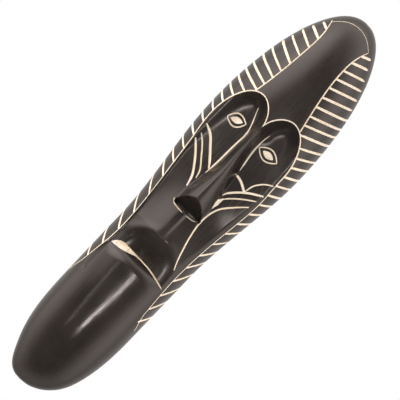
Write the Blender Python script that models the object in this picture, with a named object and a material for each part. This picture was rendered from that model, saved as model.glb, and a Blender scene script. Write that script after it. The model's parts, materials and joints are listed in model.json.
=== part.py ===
"""Carved wall mask: one hollowed wooden body and the swinging ring hanger screwed to its back.

Frame, in metres: +Z runs up the mask, the face looks towards -Y, and the back lies in the plane y = 0.
The origin is the point of the back plane where the wall hook carries the raised ring.
"""

import math

import bmesh
import bpy
import numpy as np
from mathutils import Vector
from mathutils.kdtree import KDTree

MM = 0.001
COLLECTION = "carved_wall_mask"

# Overall size of the carved body.
MASK_LENGTH = 400 * MM
MASK_WIDTH = 95.2 * MM
MASK_DEPTH = 51 * MM

# Back of the body: flat rim, gouged hollow and the pocket that the hanger sits in.
RIM_WIDTH = 11 * MM
RIM_CHAMFER = 1.2 * MM
HOLLOW_DEPTH = 17 * MM
HOLLOW_CHIN_MARGIN = 26 * MM
BRIDGE_BELOW_POCKET = 12 * MM
POCKET_MARGIN = 2.5 * MM
POCKET_CORNER = 5 * MM

# Hanger: strap with a rolled eye, D ring and two pan head screws.
GAP = 0.3 * MM
HANGER_DROP = 48 * MM
STRAP_WIDTH = 12 * MM
STRAP_THICKNESS = 1.2 * MM
STRAP_REACH = 32 * MM
RING_WIRE = 2.4 * MM
RING_INNER_WIDTH = 14 * MM
RING_CORNER = 2.2 * MM
RING_LEG = 5 * MM
SCREW_SHANK = 3 * MM
SCREW_LENGTH = 14 * MM
SCREW_HEAD = 6.5 * MM
SCREW_HEAD_HEIGHT = 1.8 * MM
SCREW_SLOT = 0.8 * MM
SCREW_DROPS = (8 * MM, 24 * MM)

# Worked out from the sizes above.
EYE_INNER_RADIUS = RING_WIRE / 2 + GAP
EYE_OUTER_RADIUS = EYE_INNER_RADIUS + STRAP_THICKNESS
POCKET_DEPTH = 2 * EYE_OUTER_RADIUS + 2 * GAP
PIVOT_Y = -(GAP + EYE_OUTER_RADIUS)
STRAP_FACE_Y = PIVOT_Y - EYE_INNER_RADIUS
STRAP_BACK_Y = STRAP_FACE_Y - STRAP_THICKNESS
RING_HALF_WIDTH = (RING_INNER_WIDTH + RING_WIRE) / 2
RING_REACH = RING_LEG + RING_HALF_WIDTH
PIVOT_FROM_CHIN = MASK_LENGTH - HANGER_DROP
HOOK_FROM_CHIN = PIVOT_FROM_CHIN + RING_REACH - RING_WIRE / 2
PIVOT = Vector((0, PIVOT_Y, PIVOT_FROM_CHIN - HOOK_FROM_CHIN))
POCKET_HALF_WIDTH = RING_HALF_WIDTH + RING_WIRE / 2 + POCKET_MARGIN
POCKET_TOP = PIVOT.z + RING_REACH + RING_WIRE / 2 + POCKET_MARGIN
POCKET_BOTTOM = PIVOT.z - STRAP_REACH - POCKET_MARGIN
HOLLOW_TOP = POCKET_BOTTOM - BRIDGE_BELOW_POCKET
HOLLOW_BOTTOM = HOLLOW_CHIN_MARGIN - HOOK_FROM_CHIN

# The carving is laid out on a blank of this size, in millimetres, and stretched to the mask's own size.
# Heights count up from the chin end, widths from the middle, depths forward from the back.
LAYOUT_LENGTH = 400.0
LAYOUT_WIDTH = 95.2
LAYOUT_DEPTH = 51.0
HEAD_HALF = 47.6
HEAD_HEIGHT = 270.0
CHIN_HALF = 37.7
CHIN_HEIGHT = 85.0
HEAD_DEPTH = 49.0
CHIN_DEPTH = 44.5
BROW_PEAK = 299.8
BROW_PEAK_X = 17.2
BROW_NOTCH = 279.2
FACE_MID = 262.0
FACE_HALF = 39.2
FACE_WAIST_HALF = 30.0
SOCKET_DEPTH = 30.0
NOSE_WAIST = 265.0
NOSE_WAIST_HALF = 6.1
NOSE_TIP = 204.0
NOSE_BASE_HALF = 12.9
NOSE_ROOT_DEPTH = 43.5
NOSE_TIP_DEPTH = 51.0
NOSE_BASE = 190.0
NOSTRIL_RISE = 13.2
NOSTRIL_DEPTH = 5.5
MOUTH_X = 1.8
MOUTH_HEIGHT = 133.0
MOUTH_RADIUS = 28.4
MOUTH_BOW = 5.7
MOUTH_DEPTH = 29.5
LIP_DEPTH = 43.5
GROOVE_UNDER_NOSE = 1.1
LIP_ROLL = 0.7
CHIN_ROLL = 12.0
EYES = ((-20.0, 270.9, 7.3, 2.9, 17.0), (17.8, 267.7, 7.6, 3.0, 0.0))
EYE_RECESS = 1.6

CHIN_LEAN = -5.0
CHIN_LEAN_REACH = 26.0

# Spacing of the body's cross sections, in layout millimetres, and the columns of faces across each:
# the middle ones follow the nose, whose sides they stay a little outside of.
ROW_PLAIN = 7.5
ROW_FACE = 3.4
ROW_END = 1.0
COLUMNS = 44
NOSE_COLUMNS = 16
NOSE_MARGIN = 1.3


def smooth(t):
    """Eased step from 0 to 1."""
    t = np.clip(t, 0.0, 1.0)
    return t * t * (3.0 - 2.0 * t)


def round_end(t, power):
    """Superellipse quadrant: 1 at t = 0, falling to 0 at t = 1."""
    t = np.clip(t, 0.0, 1.0)
    return (1.0 - t**power) ** (1.0 / power)


def soft_max(a, b, blend):
    """The greater of two heights, with a fillet about as wide as blend."""
    share = np.clip(0.5 + 0.5 * (a - b) / blend, 0.0, 1.0)
    return b + (a - b) * share + blend * share * (1.0 - share)


def half_width(height):
    """Half the width of the outline, seen from the front."""
    width = CHIN_HALF + (HEAD_HALF - CHIN_HALF) * smooth((height - 152) / 120)
    width = width * round_end((height - HEAD_HEIGHT) / (LAYOUT_LENGTH - HEAD_HEIGHT), 2.1)
    return width * round_end((CHIN_HEIGHT - height) / CHIN_HEIGHT, 2.3)


def section_depth(height):
    """Depth of the uncarved blank along its middle."""
    depth = CHIN_DEPTH + (HEAD_DEPTH - CHIN_DEPTH) * smooth((height - 195) / 70)
    depth = depth * round_end((height - 275) / (LAYOUT_LENGTH - 275), 2.2)
    return depth * round_end((110 - height) / 110, 2.3)


def section_power(height):
    """Squareness of the cross section: an ellipse at the head and chin, fuller at the face."""
    return 2.05 + 0.3 * smooth((330 - height) / 60) * smooth((height - 60) / 60)


def blank_depth(x, height):
    """Depth of the uncarved blank at a place seen from the front."""
    power = section_power(height)
    share = np.clip(np.abs(x) / np.maximum(half_width(height), 1e-6), 0.0, 1.0)
    return section_depth(height) * (1.0 - share**power) ** (1.0 / power)


def face_centre(height):
    """The hand-cut middle line of the face, which leans to one side below the brow."""
    return 2.0 * smooth((262 - height) / 34) * smooth((height - 90) / 60) - 1.2 * smooth((height - 300) / 50)


def cheek_half(height):
    """Half the width of the face between the two side bands."""
    narrowing = (FACE_HALF - FACE_WAIST_HALF) * smooth((FACE_MID - height) / 115)
    return FACE_HALF - narrowing + 3.6 * smooth((145 - height) / 50)


def brow_line(x):
    """Height of the double arch of the brows, which meet in a notch over the nose."""
    out = np.abs(x)
    outer_reach = FACE_HALF - BROW_PEAK_X
    outer_share = np.clip(1 - ((out - BROW_PEAK_X) / outer_reach) ** 2, 0, 1)
    outer = FACE_MID + (BROW_PEAK - FACE_MID) * np.sqrt(outer_share)
    inner = BROW_NOTCH + (BROW_PEAK - BROW_NOTCH) * round_end((BROW_PEAK_X - out) / BROW_PEAK_X, 1.8)
    return np.where(out < BROW_PEAK_X, inner, outer)


def face_edge():
    """Points along one side of the heart-shaped edge of the face, from the brow notch to the jaw."""
    sweep = np.radians(np.linspace(180, 0, 700))
    inner = sweep > math.pi / 2
    across = BROW_PEAK_X + np.cos(sweep) * np.where(inner, BROW_PEAK_X, FACE_HALF - BROW_PEAK_X)
    down = np.linspace(FACE_MID, 100, 1200)
    return np.concatenate((across, cheek_half(down))), np.concatenate((brow_line(across), down))


def edge_tree():
    across, height = face_edge()
    tree = KDTree(len(across))
    for index, place in enumerate(zip(across, height)):
        tree.insert((*place, 0), index)
    tree.balance()
    return tree


EDGE_TREE = edge_tree()


def from_edge(across, height):
    """How far inside the face's edge a place lies, and 0 outside it."""
    across, height = np.broadcast_arrays(np.abs(across), height)
    inside = (across < cheek_half(height)) & (height < brow_line(across)) & (height > 101)
    distance = np.zeros(across.shape)
    for index in zip(*np.nonzero(inside)):
        distance[index] = EDGE_TREE.find((across[index], height[index], 0))[2]
    return distance


def face_floor(across, height):
    """Floor of the hollowed face: deepest at the eyes, and swelling out over the muzzle to the lip."""
    down = np.clip((240 - height) / 78, 0, 1)
    middle = SOCKET_DEPTH + (LIP_DEPTH - SOCKET_DEPTH) * (0.55 * smooth(down) + 0.45 * down**1.6)
    bulge = 17.0 * smooth((232 - height) / 72)
    bowl = 1.6 * smooth((height - 215) / 40) * (across / FACE_HALF) ** 2
    return middle + bowl - bulge * smooth(np.abs(across) / 44)


def hollowed_face(x, height, blank):
    """Blank with the face scooped out inside its edge: a cove under the brows, a low step at the cheeks."""
    across = x - face_centre(height)
    reach = 3.5 + 12.5 * smooth((height - 222) / 50)
    share = 1 - (1 - np.clip(from_edge(across, height) / reach, 0, 1)) ** 3
    return blank - soft_max(blank - face_floor(across, height), 0.0, 1.5) * share


def nose_half(height):
    """Half the width of the nose, from its waist between the eyes to its wide base and up to the brows."""
    below = np.clip((NOSE_WAIST - height) / (NOSE_WAIST - NOSE_TIP), 0, 1)
    above = np.clip((height - NOSE_WAIST) / 23, 0, 1.25)
    return NOSE_WAIST_HALF + (NOSE_BASE_HALF - NOSE_WAIST_HALF) * below**1.1 + 4.2 * above**2


def with_nose(x, height, face):
    """Adds the long nose: a narrow ridge from the brow notch, widening to the tip and hollowed under it."""
    across = x - face_centre(height)
    run = np.clip((BROW_NOTCH - height) / (BROW_NOTCH - NOSE_TIP), 0, 1)
    ridge = NOSE_ROOT_DEPTH + (NOSE_TIP_DEPTH - NOSE_ROOT_DEPTH) * run**1.5
    ridge = ridge + 2.5 * smooth((height - 268) / 14)
    share = np.abs(across) / nose_half(height)
    profile = np.maximum(1 - share ** (1.35 + 0.35 * run), -3)
    floor = face_floor(across, height)
    nose = floor + (ridge - floor) * profile
    edge = NOSE_BASE + NOSTRIL_RISE * np.clip(1 - np.abs(across / 13.8) ** 1.9, 0, 1) ** 0.62
    kept = np.clip((height - NOSE_BASE) / np.maximum(edge - NOSE_BASE, 0.5), 0, 1)
    under = floor - NOSTRIL_DEPTH + (nose - floor + NOSTRIL_DEPTH) * kept**1.6
    hollow = smooth((edge - height + 0.3) / 1.0)
    nose = nose + (under - nose) * hollow
    inside = smooth((brow_line(across) + 1 - height) / 4)
    raised = soft_max(face, nose, 1.6)
    raised = np.where(height < NOSE_BASE - 0.4, face, raised)
    in_hollow = (height > NOSE_BASE) & (height < edge) & (np.abs(across) < 13.4)
    raised = np.where(in_hollow, np.where(nose > face, raised, nose), raised)
    return face + (raised - face) * inside


def with_muzzle(x, height, face, blank):
    """Adds the soft roll along the arched upper lip and the groove that runs down to it from the nose."""
    across = x - MOUTH_X
    radius = np.hypot(across, height - MOUTH_HEIGHT)
    climb = np.clip((height - MOUTH_HEIGHT) / np.maximum(radius, 1e-6), 0, 1)
    roll = LIP_ROLL * np.exp(-(((radius - MOUTH_RADIUS - 2.2) / 3.4) ** 2)) * smooth(climb * 3 - 0.9)
    raised = face + np.clip(np.minimum(roll, blank - face), 0, None)
    widening = smooth((171 - height) / 9)
    width = 2.5 + 1.6 * widening
    dip = GROOVE_UNDER_NOSE * np.exp(-((np.abs(x - 2.2) / width) ** 2))
    dip = dip * smooth((height - 160) / 4) * smooth((NOSE_BASE - height) / 1.5)
    lip = face_floor(across, height) + roll
    return raised - dip, np.minimum(lip, blank), radius


def mouth_line(x):
    """Height of the mouth, a low arch between its corners."""
    return MOUTH_HEIGHT - 1 + MOUTH_BOW * np.clip(1 - ((x - MOUTH_X) / MOUTH_RADIUS) ** 2, 0, 1)


def with_mouth(x, height, face, lip, radius, blank):
    """Undercuts the upper lip down to the mouth and rolls the chin block out again below it."""
    across = np.abs(x - MOUTH_X)
    line = mouth_line(x)
    corner = np.clip(1 - (across / MOUTH_RADIUS) ** 2, 0, 1) ** 0.35
    mouth = blank - np.clip(blank - MOUTH_DEPTH, 0, None) * corner
    inward = np.clip((MOUTH_RADIUS - radius) / (MOUTH_RADIUS - MOUTH_BOW), 0, 1)
    floor = np.minimum(mouth, lip)
    under_lip = floor + (lip - floor) * (1 - inward) ** 1.25
    face = np.where((radius < MOUTH_RADIUS) & (height > line), under_lip, face)
    below = np.clip((line - height) / CHIN_ROLL, 0, 1)
    rolled = mouth + (blank - mouth) * (1 - (1 - below) ** 2) ** 0.6
    return np.where((across < MOUTH_RADIUS) & (height <= line), rolled, face)


def with_eyes(x, height, face):
    """Sinks the two almond eyes a little."""
    for middle, level, reach, rise, tilt in EYES:
        turn = math.radians(tilt)
        along = (x - middle) * math.cos(turn) + (height - level) * math.sin(turn)
        up = (height - level) * math.cos(turn) - (x - middle) * math.sin(turn)
        lid = rise * np.clip(1 - (along / reach) ** 2, 0, 1)
        face = face - EYE_RECESS * smooth((lid - np.abs(up)) / 1.5)
    return face


def front_depth(x, height):
    """Depth of the carved front at a place seen from the front, all in layout millimetres."""
    blank = blank_depth(x, height)
    face = hollowed_face(x, height, blank)
    face = with_nose(x, height, face)
    face, lip, radius = with_muzzle(x, height, face, blank)
    face = with_mouth(x, height, face, lip, radius, blank)
    return with_eyes(x, height, face)


def section_heights():
    """Heights of the cross sections, closer together at the face and at both ends."""
    fine = np.linspace(0, LAYOUT_LENGTH, 2001)
    in_face = smooth((fine - 118) / 12) * smooth((308 - fine) / 12)
    spacing = ROW_PLAIN + (ROW_FACE - ROW_PLAIN) * in_face
    from_end = np.minimum(fine, LAYOUT_LENGTH - fine)
    spacing = np.minimum(spacing, ROW_END + from_end * 0.35)
    counted = np.concatenate(([0.0], np.cumsum(np.diff(fine) / spacing[1:])))
    rows = int(round(counted[-1]))
    return np.interp(np.linspace(0, counted[-1], rows + 1), counted, fine)


def column_places(share, height):
    """Sideways place of each column, with share running from -1 at one rim to 1 at the other."""
    out = np.abs(share)
    inner = NOSE_COLUMNS / COLUMNS
    power = section_power(height)
    width = half_width(height)
    reach = np.minimum(NOSE_MARGIN * nose_half(height), width * inner)
    first_turn = np.arcsin((reach / np.maximum(width, 1e-6)) ** (power / 2))
    turn = first_turn + (math.pi / 2 - first_turn) * (out - inner) / (1 - inner)
    outer = width * np.sin(np.maximum(turn, first_turn)) ** (2 / power)
    across = np.sign(share) * np.where(out < inner, reach * out / inner, outer)
    return across + face_centre(height) * (1 - (across / np.maximum(width, 1e-6)) ** 2)


def outline_lean(height):
    """Sideways shift of the last of the chin, whose rounded end was cut a little off the middle."""
    return CHIN_LEAN * np.clip(1 - height / CHIN_LEAN_REACH, 0, 1) ** 2.2


def to_frame(x, depth, height):
    """Stretches a point of the layout to the mask's own size, in the part's frame."""
    return Vector(
        (
            (x + float(outline_lean(height))) * MASK_WIDTH / LAYOUT_WIDTH,
            -depth * MASK_DEPTH / LAYOUT_DEPTH,
            height * MASK_LENGTH / LAYOUT_LENGTH - HOOK_FROM_CHIN,
        )
    )


def material(name, colour, roughness, metallic=0.0):
    made = bpy.data.materials.new(name)
    made.use_nodes = True
    shader = made.node_tree.nodes["Principled BSDF"]
    shader.inputs["Base Color"].default_value = (*colour, 1)
    shader.inputs["Roughness"].default_value = roughness
    shader.inputs["Metallic"].default_value = metallic
    made.diffuse_color = (*colour, 1)
    return made


def collection(name, hidden=False):
    made = bpy.data.collections.new(name)
    bpy.context.scene.collection.children.link(made)
    made.hide_render = hidden
    return made


def add_object(name, bm, home, finish=None, location=(0, 0, 0)):
    """Turns a bmesh into an object with outward normals, shaded smooth with sharp edges kept."""
    bmesh.ops.recalc_face_normals(bm, faces=bm.faces)
    mesh = bpy.data.meshes.new(name)
    bm.to_mesh(mesh)
    bm.free()
    made = bpy.data.objects.new(name, mesh)
    made.location = location
    home.objects.link(made)
    if finish:
        mesh.materials.append(finish)
        mesh.shade_smooth()
        mesh.set_sharp_from_angle(angle=math.radians(40))
    else:
        made.hide_render = True
        made.display_type = "WIRE"
    return made


def boolean(target, tool, operation="DIFFERENCE"):
    modifier = target.modifiers.new(tool.name, "BOOLEAN")
    modifier.operation = operation
    modifier.object = tool


def cylinder_y(name, home, radius, low_y, high_y, x, z, sides=32):
    """Cutter or joined piece: a cylinder along Y."""
    bm = bmesh.new()
    bmesh.ops.create_cone(
        bm, cap_ends=True, segments=sides, radius1=radius, radius2=radius, depth=high_y - low_y
    )
    bmesh.ops.rotate(bm, verts=bm.verts, matrix=Vector((0, 0, 1)).rotation_difference((0, 1, 0)).to_matrix())
    return add_object(name, bm, home, location=(x, (low_y + high_y) / 2, z))


def mask_body(parts, cutters, wood):
    """The carved front is a grid drawn over the layout, closed by a flat back, then gouged out behind."""
    heights = section_heights()
    bm = bmesh.new()
    bmesh.ops.create_grid(bm, x_segments=COLUMNS, y_segments=len(heights) - 1, size=1)
    places = np.array([vert.co.xy[:] for vert in bm.verts])
    rows = np.rint((places[:, 1] + 1) / 2 * (len(heights) - 1)).astype(int)
    height = heights[rows]
    x = column_places(places[:, 0], height)
    depth = front_depth(x, height)
    on_rim = np.abs(places[:, 0]) > 0.9999
    for vert, px, pd, ph, rim in zip(bm.verts, x, depth, height, on_rim):
        vert.co = to_frame(px, 0.0 if rim else pd, ph)
    bmesh.ops.remove_doubles(bm, verts=bm.verts, dist=0.01 * MM)
    edge = [e for e in bm.edges if e.is_boundary]
    bmesh.ops.translate(bm, verts=list({v for e in edge for v in e.verts}), vec=(0, -RIM_CHAMFER, 0))
    ring = bmesh.ops.extrude_edge_only(bm, edges=edge)["geom"]
    back = [v for v in ring if isinstance(v, bmesh.types.BMVert)]
    middle = (MASK_LENGTH / 2) - HOOK_FROM_CHIN
    for vert in back:
        vert.co.x *= 1 - RIM_CHAMFER / (MASK_WIDTH / 2)
        vert.co.z = middle + (vert.co.z - middle) * (1 - RIM_CHAMFER / (MASK_LENGTH / 2))
        vert.co.y = 0
    bmesh.ops.edgeloop_fill(bm, edges=[e for e in bm.edges if e.is_boundary])
    body = add_object("mask_body", bm, parts, wood)
    boolean(body, hollow_cutter(cutters))
    boolean(body, pocket_cutter(cutters))
    for number, drop in enumerate(SCREW_DROPS, 1):
        pilot = cylinder_y(
            f"pilot_hole_{number}",
            cutters,
            SCREW_SHANK / 2 + GAP,
            STRAP_FACE_Y - SCREW_LENGTH - GAP,
            -POCKET_DEPTH + GAP,
            0,
            PIVOT.z - drop,
            sides=16,
        )
        boolean(body, pilot)
    return body


def hollow_cutter(cutters):
    """A long bowl whose outline keeps the rim's width inside the mask's own outline."""
    bm = bmesh.new()
    bmesh.ops.create_uvsphere(bm, u_segments=32, v_segments=26, radius=1)
    half_length = (HOLLOW_TOP - HOLLOW_BOTTOM) / 2
    middle = (HOLLOW_TOP + HOLLOW_BOTTOM) / 2
    for vert in bm.verts:
        x, y, z = vert.co
        height = middle + half_length * z
        layout_height = (height + HOOK_FROM_CHIN) * LAYOUT_LENGTH / MASK_LENGTH
        across = half_width(layout_height) * MASK_WIDTH / LAYOUT_WIDTH - RIM_WIDTH
        ring = max(math.hypot(x, y), 1e-9)
        swell = float(round_end(abs(z), 2.6))
        vert.co = (x / ring * across * swell, y / ring * HOLLOW_DEPTH * swell, height)
    return add_object("hollow_cutter", bm, cutters)


def pocket_cutter(cutters):
    """Round-cornered recess that takes the strap, and the ring both hanging and raised."""
    bm = bmesh.new()
    bmesh.ops.create_cube(bm, size=1)
    tall = POCKET_TOP - POCKET_BOTTOM
    bmesh.ops.scale(bm, verts=bm.verts, vec=(2 * POCKET_HALF_WIDTH, 2 * POCKET_DEPTH, tall))
    uprights = [e for e in bm.edges if abs(e.verts[0].co.y - e.verts[1].co.y) > POCKET_DEPTH]
    bmesh.ops.bevel(bm, geom=uprights, offset=POCKET_CORNER, segments=6, affect="EDGES", profile=0.5)
    return add_object("pocket_cutter", bm, cutters, location=(0, 0, (POCKET_TOP + POCKET_BOTTOM) / 2))


def hanger_strap(parts, cutters, steel):
    """Flat strap with a round lower end, rolled into an eye round the ring's bar."""
    bm = bmesh.new()
    bmesh.ops.create_cube(bm, size=1)
    tall = STRAP_REACH
    bmesh.ops.scale(bm, verts=bm.verts, vec=(STRAP_WIDTH, STRAP_THICKNESS, tall))
    low = [
        e
        for e in bm.edges
        if abs(e.verts[0].co.y - e.verts[1].co.y) > STRAP_THICKNESS / 2 and e.verts[0].co.z < 0
    ]
    bmesh.ops.bevel(bm, geom=low, offset=STRAP_WIDTH / 2 * 0.98, segments=10, affect="EDGES", profile=0.5)
    middle_y = (STRAP_FACE_Y + STRAP_BACK_Y) / 2
    strap = add_object("hanger_strap", bm, parts, steel, location=(0, middle_y, PIVOT.z - tall / 2))
    eye = eye_roll("eye_roll", cutters, EYE_OUTER_RADIUS, STRAP_WIDTH)
    bore = eye_roll("eye_bore", cutters, EYE_INNER_RADIUS, STRAP_WIDTH * 2)
    boolean(strap, eye, "UNION")
    boolean(strap, bore)
    for number, drop in enumerate(SCREW_DROPS, 1):
        hole = cylinder_y(
            f"strap_hole_{number}",
            cutters,
            SCREW_SHANK / 2 + GAP,
            STRAP_BACK_Y - STRAP_THICKNESS,
            STRAP_FACE_Y + STRAP_THICKNESS,
            0,
            PIVOT.z - drop,
            sides=24,
        )
        boolean(strap, hole)
    return strap


def eye_roll(name, cutters, radius, length):
    """Cylinder along X on the ring's pivot."""
    bm = bmesh.new()
    bmesh.ops.create_cone(bm, cap_ends=True, segments=32, radius1=radius, radius2=radius, depth=length)
    bmesh.ops.rotate(bm, verts=bm.verts, matrix=Vector((0, 0, 1)).rotation_difference((1, 0, 0)).to_matrix())
    return add_object(name, bm, cutters, location=PIVOT)


def arc(centre_x, centre_z, radius, start, end, steps):
    """Points along an arc in the XZ plane, angles in degrees from +X."""
    angles = [math.radians(start + (end - start) * i / steps) for i in range(steps + 1)]
    return [(centre_x + radius * math.cos(a), 0, centre_z + radius * math.sin(a)) for a in angles]


def hanger_ring(parts, steel):
    """D ring of round wire, hanging from its straight bar, with its origin on the bar's axis."""
    side = RING_HALF_WIDTH
    corner = RING_CORNER
    points = arc(side - corner, -corner, corner, 90, 0, 4)
    points += arc(0, -RING_LEG, side, 0, -180, 20)
    points += arc(corner - side, -corner, corner, 180, 90, 4)
    curve = bpy.data.curves.new("hanger_ring", "CURVE")
    curve.dimensions = "3D"
    curve.bevel_depth = RING_WIRE / 2
    curve.bevel_resolution = 3
    spline = curve.splines.new("POLY")
    spline.points.add(len(points) - 1)
    for point, place in zip(spline.points, points):
        point.co = (*place, 1)
    spline.use_cyclic_u = True
    spline.use_smooth = True
    curve.materials.append(steel)
    ring = bpy.data.objects.new("hanger_ring", curve)
    ring.location = PIVOT
    parts.objects.link(ring)
    return ring


def hanger_screw(number, drop, parts, cutters, steel):
    """Pan head screw turned from a profile, with a driver slot; its axis runs along Y."""
    radius = SCREW_SHANK / 2
    head = SCREW_HEAD / 2
    sweep = np.linspace(0, 1.45, 6)
    dome = [(head * math.cos(a), SCREW_HEAD_HEIGHT * (0.4 + 0.6 * math.sin(a))) for a in sweep]
    profile = [(0, SCREW_HEAD_HEIGHT), *reversed(dome), (head, 0), (radius, 0)]
    profile += [(radius, -SCREW_LENGTH * 0.72), (0, -SCREW_LENGTH)]
    bm = bmesh.new()
    chain = [bm.verts.new((x, 0, z)) for x, z in profile]
    edges = [bm.edges.new(pair) for pair in zip(chain, chain[1:])]
    bmesh.ops.spin(
        bm, geom=chain + edges, cent=(0, 0, 0), axis=(0, 0, 1), angle=2 * math.pi, steps=24, use_merge=True
    )
    bmesh.ops.remove_doubles(bm, verts=bm.verts, dist=0.01 * MM)
    bmesh.ops.rotate(bm, verts=bm.verts, matrix=Vector((0, 0, 1)).rotation_difference((0, 1, 0)).to_matrix())
    place = Vector((0, STRAP_FACE_Y + GAP, PIVOT.z - drop))
    screw = add_object(f"hanger_screw_{number}", bm, parts, steel, location=place)
    slot = bmesh.new()
    bmesh.ops.create_cube(slot, size=1)
    bmesh.ops.scale(slot, verts=slot.verts, vec=(SCREW_HEAD * 1.2, SCREW_HEAD_HEIGHT, SCREW_SLOT))
    slant = Vector((1, 0, 0)).rotation_difference((1, 0, number)).to_matrix()
    bmesh.ops.rotate(slot, verts=slot.verts, matrix=slant)
    cut = add_object(f"slot_{number}", slot, cutters, location=place + Vector((0, SCREW_HEAD_HEIGHT, 0)))
    boolean(screw, cut)
    return screw


def main():
    for old in list(bpy.data.objects):
        bpy.data.objects.remove(old, do_unlink=True)
    parts = collection(COLLECTION)
    cutters = collection("cutters", hidden=True)
    wood = material("stained_wood", (0.045, 0.038, 0.033), 0.35)
    mask_body(parts, cutters, wood)
    hanger_strap(parts, cutters, material("zinc_steel", (0.55, 0.55, 0.53), 0.35, 1.0))
    hanger_ring(parts, material("ring_steel", (0.62, 0.62, 0.60), 0.25, 1.0))
    brass = material("screw_brass", (0.72, 0.56, 0.30), 0.3, 1.0)
    for number, drop in enumerate(SCREW_DROPS, 1):
        hanger_screw(number, drop, parts, cutters, brass)


main()
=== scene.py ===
"""Looks of the carved wall mask: fine carving, stained and cut wood, the hanger's metal and the studio."""

import json
import math

import bmesh
import bpy
import numpy as np
from mathutils import Matrix, Vector, noise
from mathutils.kdtree import KDTree


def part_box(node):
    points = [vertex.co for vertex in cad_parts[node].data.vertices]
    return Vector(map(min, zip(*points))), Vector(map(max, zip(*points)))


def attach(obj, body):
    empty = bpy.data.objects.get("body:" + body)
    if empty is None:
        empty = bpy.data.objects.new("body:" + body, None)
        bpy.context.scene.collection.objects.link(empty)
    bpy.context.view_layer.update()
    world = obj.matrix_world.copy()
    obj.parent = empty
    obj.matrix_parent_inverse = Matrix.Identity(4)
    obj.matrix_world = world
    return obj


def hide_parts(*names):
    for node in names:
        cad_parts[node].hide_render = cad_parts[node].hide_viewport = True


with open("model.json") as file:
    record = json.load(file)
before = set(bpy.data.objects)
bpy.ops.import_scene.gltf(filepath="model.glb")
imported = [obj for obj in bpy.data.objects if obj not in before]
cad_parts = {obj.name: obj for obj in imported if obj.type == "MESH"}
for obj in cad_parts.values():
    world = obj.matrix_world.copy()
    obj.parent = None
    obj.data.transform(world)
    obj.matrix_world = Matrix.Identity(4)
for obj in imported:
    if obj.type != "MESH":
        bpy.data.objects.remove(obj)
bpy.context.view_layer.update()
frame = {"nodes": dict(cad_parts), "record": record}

MM = 0.001

# ---------------------------------------------------------------- layout of the carving
# The carving is laid out on a blank of this size, in millimetres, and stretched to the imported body's box.
# Heights count up from the chin end, widths from the middle, depths forward from the back.
LAYOUT_LENGTH = 400.0
LAYOUT_WIDTH = 95.2
LAYOUT_DEPTH = 51.0
# The blank: half width and depth at head and chin, and the heights where each starts to round off.
HEAD_HALF = 47.6
HEAD_HEIGHT = 270.0
HEAD_DEPTH = 49.0
HEAD_DEPTH_HEIGHT = 275.0
CHIN_HALF = 37.7
CHIN_HEIGHT = 85.0
CHIN_DEPTH = 44.5
CHIN_DEPTH_HEIGHT = 110.0
CHIN_LEAN = -5.0
CHIN_LEAN_REACH = 26.0
# The edge of the face, brows and cheek lines. Its middle leans to one side, and the forehead's to the other.
BROW_PEAK = 299.8
BROW_PEAK_X = 17.2
BROW_NOTCH = 279.2
FACE_MID = 262.0
FACE_LOW = 100.0
FACE_HALF = 39.2
FACE_WAIST_HALF = 30.0
JAW_FLARE = 3.6
FACE_LEAN = 2.0
FOREHEAD_LEAN = 1.2
# The floor of the hollowed face, the fall of the cheeks beside the muzzle and the step at the edge.
SOCKET_DEPTH = 30.0
SOCKET_BOWL = 1.6
SOCKET_FOOT = 240.0
LIP_FLOOR = 162.0
LIP_DEPTH = 43.5
CHEEK_FALL = 17.0
CHEEK_FALL_REACH = 44.0
CHEEK_STEP = 3.5
BROW_COVE = 16.0
EDGE_FILLET = 1.5
# The nose.
NOSE_TOP = 288.0
NOSE_TOP_SPREAD = 4.2
NOSE_WAIST = 265.0
NOSE_WAIST_HALF = 6.1
NOSE_TIP = 204.0
NOSE_BASE = 190.0
NOSE_BASE_HALF = 12.9
NOSE_ROOT_DEPTH = 43.5
NOSE_ROOT_RISE = 2.5
NOSE_TIP_DEPTH = 51.0
NOSE_FILLET = 1.6
NOSTRIL_HALF = 13.8
NOSTRIL_WALL = 13.4
NOSTRIL_RISE = 13.2
NOSTRIL_DEPTH = 5.5
# The mouth under its arched lip, the groove down to the lip and the rolled chin block.
MOUTH_X = 1.8
MOUTH_HEIGHT = 133.0
MOUTH_RADIUS = 28.4
MOUTH_BOW = 5.7
MOUTH_DEPTH = 29.5
LIP_ROLL = 0.7
LIP_ROLL_OUT = 2.2
LIP_ROLL_WIDTH = 3.4
GROOVE_X = 2.2
GROOVE_HALF = 2.5
GROOVE_SPREAD = 1.6
GROOVE_DEPTH = 1.1
CHIN_ROLL = 12.0
# The plain panel of the forehead, and the least distance out to the hatching beside it.
PANEL_FOOT = 301.5
PANEL_FOOT_SPREAD = 7.6
PANEL_WAIST = 362.0
PANEL_WAIST_HALF = 16.1
PANEL_TOP = 382.0
PANEL_TOP_SPREAD = 3.4
BAND_INNER_LEAST = 23.5
# The grid that carries the carving: spacing of its rows, its columns and those kept for the nose.
ROW_PLAIN = 1.5
ROW_FACE = 0.8
ROW_END = 0.5
ROW_GROWTH = 0.25
COLUMNS = 150
NOSE_COLUMNS = 46
NOSE_MARGIN = 1.3
# Share of the half section where the rim starts, and how far back a cut runs on per turn past it.
RIM = 0.9999
RUN_ON = 70.0
# Stands in for nothing where it would divide.
TINY = 1e-6


def smooth(t):
    """Eased step from 0 to 1."""
    t = np.clip(t, 0.0, 1.0)
    return t * t * (3.0 - 2.0 * t)


def eased(value, start, end):
    """Eased step from 0 at start to 1 at end, whichever of the two is the greater."""
    return smooth((value - start) / (end - start))


def round_end(t, power):
    """Superellipse quadrant: 1 at t = 0, falling to 0 at t = 1."""
    t = np.clip(t, 0.0, 1.0)
    return (1.0 - t**power) ** (1.0 / power)


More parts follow.
